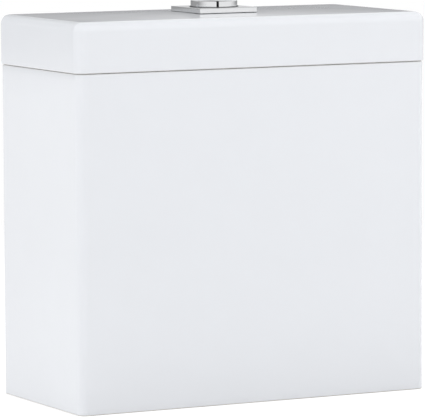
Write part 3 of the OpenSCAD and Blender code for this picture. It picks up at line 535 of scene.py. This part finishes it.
def lid_lugs(first):
    """Six locating lugs inside the lid's walls, two each at the front and the back and one at each side: a
    hooked section, given as millimetres out from the wall and up from the seam, carried along the wall.
    Faces are numbered from first."""
    section = np.array([(-0.5, 0), (2, 0), (2, -7), (3, -8), (8, -8), (9, -7), (9, 13), (-0.5, 20)]) * MM
    half_length, from_end = 0.030, 0.078
    x_in, y_in, x_place = LID_HIGH.x - LID_WALL, LID_HIGH.y - LID_WALL, LID_HIGH.x - from_end
    places = [(-x_place, -y_in, 90), (x_place, -y_in, 90), (-x_place, y_in, -90), (x_place, y_in, -90),
              (-x_in, 0, 0), (x_in, 0, 180)]
    points, faces = [], []
    count = len(section)
    for x, y, turn in places:
        cosine, sine = math.cos(math.radians(turn)), math.sin(math.radians(turn))
        for along in (-half_length, half_length):
            points.append(np.column_stack([x + cosine * section[:, 0] - sine * along,
                                           y + sine * section[:, 0] + cosine * along,
                                           SEAM_Z + section[:, 1]]))
        near_end = np.arange(first, first + count)
        faces += (grid_faces(2, count, False)[:, ::-1] + first).tolist()
        faces += [near_end.tolist(), (near_end + count)[::-1].tolist()]
        first += 2 * count
    return np.concatenate(points), faces


def china_lid():
    """Lid of one sheet and six lugs, in place of the faceted solid."""
    finish = china_glaze("lid_glaze", hollow_x=176.2, hollow_y=75.1, middle_y=0.0,
                         ceiling_z=LID_CEILING_Z / MM, rim_z=SEAM_Z / MM)
    points, faces = lid_shell()
    lug_points, lug_faces = lid_lugs(len(points))
    piece("china_lid", np.concatenate([points, lug_points]), faces + lug_faces, finish, "lid", "glaze", "lid")


# Tank

def tank_outline(inset):
    """Outer outline of the tank, drawn in all round."""
    return outline(TANK_HIGH.x - inset, TANK_LOW.y + inset, TANK_HIGH.y - inset,
                   TANK_CORNER_R - inset, TANK_BACK_CORNER_R - inset)


def tank_hollow(inset):
    """Outline of the tank's hollow and of the recess under its floor, drawn in all round."""
    side, corner_r = TANK_WALL + inset, HOLLOW_CORNER_R - inset
    return outline(TANK_HIGH.x - side, TANK_LOW.y + side, TANK_HIGH.y - side, corner_r, corner_r)


def span(start, end, low, high, shares):
    """Rows at those shares of the way from one outline and height to another."""
    return [((1 - share) * start + share * end, (1 - share) * low + share * high) for share in shares]


def bend(shape, first, last, low, high, level_first):
    """Rows round a quarter circle between two insets of a shape and two heights. It sets out along the
    level, or else upright."""
    rows = []
    for angle in np.radians(np.arange(0, 91, 10)):
        share = math.sin(angle), 1 - math.cos(angle)
        across, up = share if level_first else share[::-1]
        rows.append((shape(first + across * (last - first)), low + up * (high - low)))
    return rows


def china_tank(finish):
    """Tank as one closed sheet that runs up the outlet hole, over the floor, up the inside, over the rim,
    down the outside, under the foot and up the recess back to the hole. Each row of the sheet is an outline
    at one height. The outlet's gasket lies on the floor, and its backnut is tightened from the recess. Holes
    for the two bolts and the inlet are drilled through the floor."""
    floor_z, recess_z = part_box("outlet_gasket")[0].z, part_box("outlet_backnut")[1].z
    top, outlet_r = TANK_HIGH.z, 0.032
    cove_r, lip_r, rim_r, foot_r = 0.005, 0.002, 0.0015, 0.0012
    bolt_hole_r, inlet_hole_r, drill_past = 0.0062, 0.012975, 0.004
    inner, outer = tank_hollow(0), tank_outline(0)
    hole = outlet_r * inner / np.linalg.norm(inner, axis=1)[:, None]
    many = eased(np.arange(1, 12), 12)
    few = (0.02, 0.5, 0.98)
    rows = span(hole, hole, recess_z, floor_z, (0, 0.1, 0.9, 1))
    rows += span(hole, tank_hollow(cove_r), floor_z, floor_z, many)
    rows += bend(tank_hollow, cove_r, 0, floor_z, floor_z + cove_r, True)
    rows += span(inner, inner, floor_z + cove_r, top - lip_r, few)
    rows += bend(tank_hollow, 0, -lip_r, top - lip_r, top, False)
    rows += span(tank_hollow(-lip_r), tank_outline(rim_r), top, top, few)
    rows += bend(tank_outline, rim_r, 0, top, top - rim_r, True)
    rows += span(outer, outer, top - rim_r, foot_r, many)
    rows += bend(tank_outline, 0, foot_r, foot_r, 0, False)
    rows += span(tank_outline(foot_r), tank_hollow(-foot_r), 0, 0, few)
    rows += bend(tank_hollow, -foot_r, 0, 0, foot_r, True)
    rows += span(inner, inner, foot_r, recess_z - cove_r, few)
    rows += bend(tank_hollow, 0, cove_r, recess_z - cove_r, recess_z, False)
    rows += span(tank_hollow(cove_r), hole, recess_z, recess_z, many)
    points = np.concatenate([np.column_stack([xy, np.full(len(xy), z)]) for xy, z in rows])
    faces = outward(points, grid_faces(len(rows), len(inner), True))
    holes = [(-BOLT_X, 0, bolt_hole_r), (BOLT_X, 0, bolt_hole_r), (INLET_X, INLET_Y, inlet_hole_r)]
    piece("china_tank", points, faces, finish, "cistern", "glaze", "tank",
          holes=holes, drill=(recess_z - drill_past, floor_z + drill_past))


# Works

def return_spring(node, joint, finish):
    """Round wire along a helix. Its height rises by a small share over the first and the last three quarters
    of a curl, which lie nearly flat, and evenly between them."""
    low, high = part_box(node)
    wire_r, curls, steps, sides = 0.0006, 6, 40, 10
    flat_curl, flat_rise = 0.75, 0.07
    travel = next(row["range_m"][1] for row in frame["joints"] if row["name"] == joint)
    centre = (low + high) / 2
    radius = (high.x - low.x) / 2 - wire_r
    turn = curls * np.linspace(0, 1, curls * steps + 1)
    first = np.clip(turn / flat_curl, 0, 1)
    live = np.clip((turn - flat_curl) / (curls - 2 * flat_curl), 0, 1)
    last = np.clip((turn - curls + flat_curl) / flat_curl, 0, 1)
    share = (1 - 2 * flat_rise) * live + flat_rise * (first + last)
    height = low.z + wire_r + (high.z - low.z - 2 * wire_r) * share
    ring = circle(sides)
    points = turned(centre.x, centre.y, radius + wire_r * np.cos(ring), 2 * np.pi * turn[:, None],
                    height[:, None] + wire_r * np.sin(ring))
    faces = outward(points, grid_faces(len(turn), sides, False)).tolist()
    last_ring = len(points) - sides
    faces += [list(range(sides)), [last_ring + k for k in reversed(range(sides))]]
    spring = piece(node + "_wire", points, faces, finish, "lid", "steel", node)
    1 - travel / (high.z - low.z)
    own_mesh(spring)


def button_shade_ring(finish):
    """Dark lip on the plate round the two buttons, a dark sheet that stands in for the shade line at their
    base: painted shade. Its section is rounded, half a sine wave with its ends cut off, turned about the
    buttons' axis."""
    button_r, base_z = -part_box("half_button")[0].x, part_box("button_plate")[1].z
    inner, outer = button_r + 0.00025, button_r + 0.0011
    lip, sunk, cut_off = 0.0006, 0.0001, 0.12
    across = np.linspace(0, 1, 11)
    reach = np.concatenate([inner + (outer - inner) * across, (outer, inner)])
    wave = lip * np.sin(np.pi * (cut_off + (1 - 2 * cut_off) * across))
    height = np.concatenate([wave, (-sunk, -sunk)]) + base_z
    angle = circle(128)
    points = turned(0, 0, reach[:, None], angle, height[:, None])
    faces = outward(points, grid_faces(len(reach), len(angle), True))
    # Painted shade: a dark rubber ring put where the buttons' base has only shade.
    piece("button_shade_ring", points, faces, finish, "lid", "dark_rubber")


def thread_ridge(name, x, y, radius, low, high, pitch, height, finish, body, slot):
    """Thread on a plain upright cylinder: a four-cornered section carried along a helix, with its foot just
    under the cylinder's skin. It rises from nothing over its first half turn and dies away over its last."""
    steps, foot, end_room = 48, 0.00005, 0.45
    corners = np.array((-0.42, -0.1, 0.1, 0.42))
    turns = (high - low) / pitch - 2 * end_room
    along = np.linspace(0, turns, int(turns * steps) + 1)
    full = np.clip(2 * np.minimum(along, turns - along), 0.02, 1)
    reach = radius + np.outer(full, (0, height, height, 0)) - foot * np.array((1, 0, 0, 1))
    rise = low + pitch * (end_room + along[:, None] + corners)
    points = turned(x, y, reach, 2 * np.pi * along[:, None], rise)
    faces = grid_faces(len(along), len(corners), False)
    ends = np.array([(3, 2, 1, 0), np.arange(4) + len(points) - 4])
    piece(name, points, outward(points, np.concatenate([faces, ends])), finish, body, slot)


def threaded_inlet(finish):
    """Inlet shank turned about the fill valve's axis. Below its step the radius falls by the depth times a
    wave that is 0 on the crest and 1 in the groove; the wave's phase is z / pitch less the share of a turn.
    The profile above the step is given as radius and height in millimetres."""
    pitch, depth, lead, sides = 0.00181, 0.001, 0.0002, 64
    outer, low, step_z = 10.475 * MM, INLET_LOW.z, 28 * MM
    low_mm, top_mm = INLET_LOW.z / MM, INLET_HIGH.z / MM
    above = np.array([(10.775, 28), (10.775, 57), (17.975, 57), (17.975, 62), (10.95, 62), (10.95, 74),
                      (7.5, 77), (7.5, top_mm), (5.5, top_mm), (5.5, low_mm)]) * MM
    z = np.arange(low, step_z, pitch / 10)
    phase = (z[:, None] / pitch - np.arange(sides) / sides) % 1
    groove = np.clip(1.5 * np.abs(2 * phase - 1) - 0.3, 0, 1)
    started = np.clip(np.minimum(z - low + lead, step_z - pitch - z) / pitch, 0, 1)
    reach = np.concatenate([outer - depth * groove * started[:, None], np.tile(above[:, :1], sides)])
    height = np.concatenate([z, above[:, 1]])
    points = turned(INLET_X, INLET_Y, reach, circle(sides), height[:, None])
    faces = outward(points, grid_faces(len(height), sides, True))
    piece("threaded_inlet", points, faces, finish, "cistern", "white_plastic", "inlet_shank")


def threads(finishes):
    """Free threads of the button housing, the two fixing bolts, the float's link rod and the inlet."""
    plastic, steel = finishes["white_plastic"], finishes["steel"]
    housing_end, nut_room, plain_end = 0.0005, 0.001, 0.012
    low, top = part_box("button_housing")[0].z + housing_end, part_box("housing_nut")[0].z
    thread_ridge("housing_thread", 0, 0, radius=0.025, low=low, high=top, pitch=0.003, height=0.0009,
                 finish=plastic, body="lid", slot="white_plastic")
    low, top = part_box("fixing_bolts")[0].z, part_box("fixing_nuts")[0].z - nut_room
    for name, x in (("left_bolt_thread", -BOLT_X), ("right_bolt_thread", BOLT_X)):
        thread_ridge(name, x, 0, radius=0.0036, low=low, high=top, pitch=0.00125, height=0.00038,
                     finish=steel, body="cistern", slot="steel")
    low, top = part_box("link_rod")
    x, y = ((low + top) / 2).xy
    thread_ridge("link_thread", x, y, radius=0.002, low=low.z + plain_end, high=top.z, pitch=0.0014,
                 height=0.00028, finish=steel, body="fill_float", slot="steel")
    threaded_inlet(plastic)


# Studio

def sight(tree):
    """1 for rays that show a background: from the camera, or through a mirror or a glass."""
    kinds = ("Is Camera Ray", "Is Glossy Ray", "Is Transmission Ray")
    camera, glossy, through = (put(tree, "ShaderNodeLightPath", out=kind) for kind in kinds)
    return camera.most(glossy, through)


def card(name, points, faces, material):
    """A flat or bent sheet for the stage."""
    mesh = bpy.data.meshes.new(name)
    mesh.from_pydata(points, [], faces)
    mesh.materials.append(material)
    return added(name, mesh)


def floor_material(name):
    """Pale floor. Where it only lights the object it is greyer from just before the object backwards, except
    to the left of it. The camera and reflections see it glow near the object, with the shadow, and plain
    white from farther off."""
    material = bpy.data.materials.new(name)
    tree = cleared(material)
    place = put(tree, "ShaderNodeTexCoord", out="Object")
    far = put(tree, "ShaderNodeVectorMath", {"operation": "LENGTH"}, {0: place}, "Value").step(0.5, 1.6)
    x, y = axes(place)[:2]
    greyer = y.step(-0.22, -0.1) * x.step(-0.2, -0.17)
    pale = mixed(tree, greyer, (0.70, 0.70, 0.70, 1), (0.50, 0.50, 0.50, 1))
    plain = put(tree, "ShaderNodeBsdfDiffuse", None, {"Color": pale})
    glow = put(tree, "ShaderNodeEmission", None, {"Color": (0.74, 0.74, 0.74, 1)})
    matt = put(tree, "ShaderNodeBsdfDiffuse", None, {"Color": (0.45, 0.45, 0.45, 1)})
    near = put(tree, "ShaderNodeAddShader", None, {0: glow, 1: matt})
    white = put(tree, "ShaderNodeEmission", None, {"Color": (1, 1, 1, 1)})
    bright = put(tree, "ShaderNodeMixShader", None, {0: far, 1: near, 2: white})
    shown = put(tree, "ShaderNodeMixShader", None, {0: sight(tree), 1: plain, 2: bright})
    put(tree, "ShaderNodeOutputMaterial", None, {"Surface": shown})
    return material


def floor():
    """Square floor that reaches far past the picture, a hair under the object."""
    far, floor_z = 30, -0.0002
    corners = [(-far, -far, floor_z), (far, -far, floor_z), (far, far, floor_z), (-far, far, floor_z)]
    card("floor", corners, [(0, 1, 2, 3)], floor_material("pale_floor"))


def mirror_card(name, points, faces, grey, paleness):
    """Stage card that only reflections see: grey, and white where paleness, worked out from x, y and z,
    is 1."""
    material = bpy.data.materials.new(name)
    tree = cleared(material)
    place = put(tree, "ShaderNodeTexCoord", out="Object")
    tone = mixed(tree, paleness(*axes(place)), (grey, grey, 1.02 * grey, 1), (1, 1, 1, 1))
    glow = put(tree, "ShaderNodeEmission", None, {"Color": tone})
    put(tree, "ShaderNodeOutputMaterial", None, {"Surface": glow})
    sheet = card(name, points.tolist(), faces.tolist(), material)
    sheet.visible_camera = sheet.visible_diffuse = sheet.visible_shadow = False


def grey_backdrop():
    """Curved wall round the back and the sides of the object, whose grey the lid's top and the chrome mirror
    at the photograph's angle. It stays grey higher up at the left than at the right, is a little paler low
    at the left, and fades to white upwards, downwards and towards its ends."""
    radius, height, grey = 2, 1.8, 0.25
    angle = np.radians(np.linspace(-50, 230, 57))
    count = len(angle)
    points = np.concatenate([turned(0, 0, radius, angle, z) for z in (0.0, height)])
    k = np.arange(count - 1)

    def paleness(x, y, z):
        above_right = z.step(0.41, 0.91) * x.step(0.35, 0.8)
        above = z.step(1.1, height)
        ends = y.step(1.5, -1.3)
        below = z.step(0.27, 0.14)
        low_band = 0.15 * z.step(0.38, 0.28)
        low_left = 0.2 * (x.step(-0.35, -0.9) * z.step(0.95, 0.7))
        return above_right.most(above, ends, below, low_band, low_left)

    mirror_card("grey_backdrop", points, np.stack([k, k + 1, k + 1 + count, k + count], 1), grey, paleness)


def grey_ceiling():
    """Disc above the object that gives the chrome a grey to mirror from above. It fades to white outwards."""
    radius, height, sides, grey = 4, 2.2, 64, 0.36
    disc = turned(0, 0, radius, circle(sides), height)

    def paleness(x, y, z):
        return (x * x + y * y).math("SQRT").step(0.6, 3.6)

    mirror_card("grey_ceiling", disc, np.arange(sides)[None, :], grey, paleness)


def soft_lamp(name, azimuth, elevation, distance, width, height, watts):
    """Rectangular soft lamp that faces the middle of the object. Mirrors show the white sky in its place."""
    middle = Vector((0, 0, 0.19))
    back = direction(azimuth, elevation)
    data = bpy.data.lights.new(name, "AREA")
    data.shape = "RECTANGLE"
    data.size, data.size_y = width, height
    data.energy = watts
    lamp = added(name, data)
    lamp.location = middle + distance * back
    lamp.rotation_mode = "QUATERNION"
    lamp.rotation_quaternion = (-back).to_track_quat("-Z", "Y")
    lamp.visible_glossy = False


def sky():
    """World that shows plain white and lights the object with a slightly cool, weaker white."""
    world = bpy.data.worlds.new("studio")
    bpy.context.scene.world = world
    tree = cleared(world)
    shown = put(tree, "ShaderNodeBackground", None, {"Color": (1, 1, 1, 1), "Strength": 1.0})
    fill = put(tree, "ShaderNodeBackground", None, {"Color": (0.97, 0.985, 1, 1), "Strength": 0.72})
    both = put(tree, "ShaderNodeMixShader", None, {0: sight(tree), 1: fill, 2: shown})
    put(tree, "ShaderNodeOutputWorld", None, {"Surface": both})


def studio():
    """White floor and sky, grey cards round and above the object that only reflections see, and soft lamps
    at the left, the front right, the top and the back."""
    floor()
    grey_backdrop()
    grey_ceiling()
    sky()
    soft_lamp("left_lamp", -78, 6, distance=2.6, width=1.6, height=1.4, watts=26)
    soft_lamp("front_lamp", 44, 18, distance=3.2, width=3.0, height=2.4, watts=40)
    soft_lamp("top_lamp", 0, 78, distance=2.4, width=1.8, height=1.4, watts=9)
    soft_lamp("back_lamp", 140, 34, distance=3.0, width=3.0, height=2.0, watts=10)
    bpy.context.scene.view_settings.view_transform = "Standard"


photo_camera()
finishes = dress_nodes()
china_lid()
china_tank(finishes["glaze"])
return_spring("full_spring", "full_press", finishes["steel"])
return_spring("half_spring", "half_press", finishes["steel"])
button_shade_ring(finishes["dark_rubber"])
threads(finishes)
studio()
